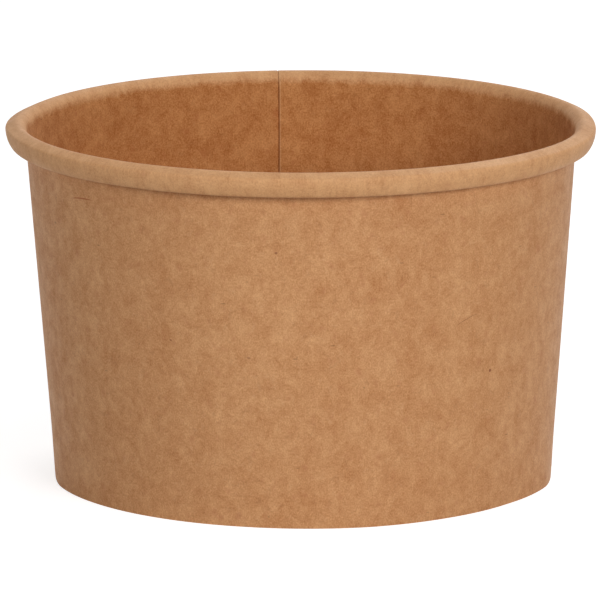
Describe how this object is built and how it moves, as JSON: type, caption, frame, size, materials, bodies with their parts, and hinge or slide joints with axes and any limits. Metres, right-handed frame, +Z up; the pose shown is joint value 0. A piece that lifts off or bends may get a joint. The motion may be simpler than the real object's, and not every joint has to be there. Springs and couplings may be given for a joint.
{
  "type": "paper ice cream tub",
  "caption": "Round tapered kraft paperboard tub with a rolled brim, a lapped side seam and a recessed base, open at the top.",
  "frame": {"origin": "centre of the foot, on the surface that the tub stands on", "axes": "+Z up along the tub's axis, +Y towards the side seam at the back"},
  "size_m": [0.096, 0.096, 0.0588],
  "materials": {
    "wall_board": "uncoated kraft paperboard, matt with a faint sheen",
    "base_board": "uncoated kraft paperboard, matt with a faint sheen"
  },
  "bodies": {
    "root": {"side_wall": "wall_board", "base_disc": "base_board"}
  },
  "joints": []
}
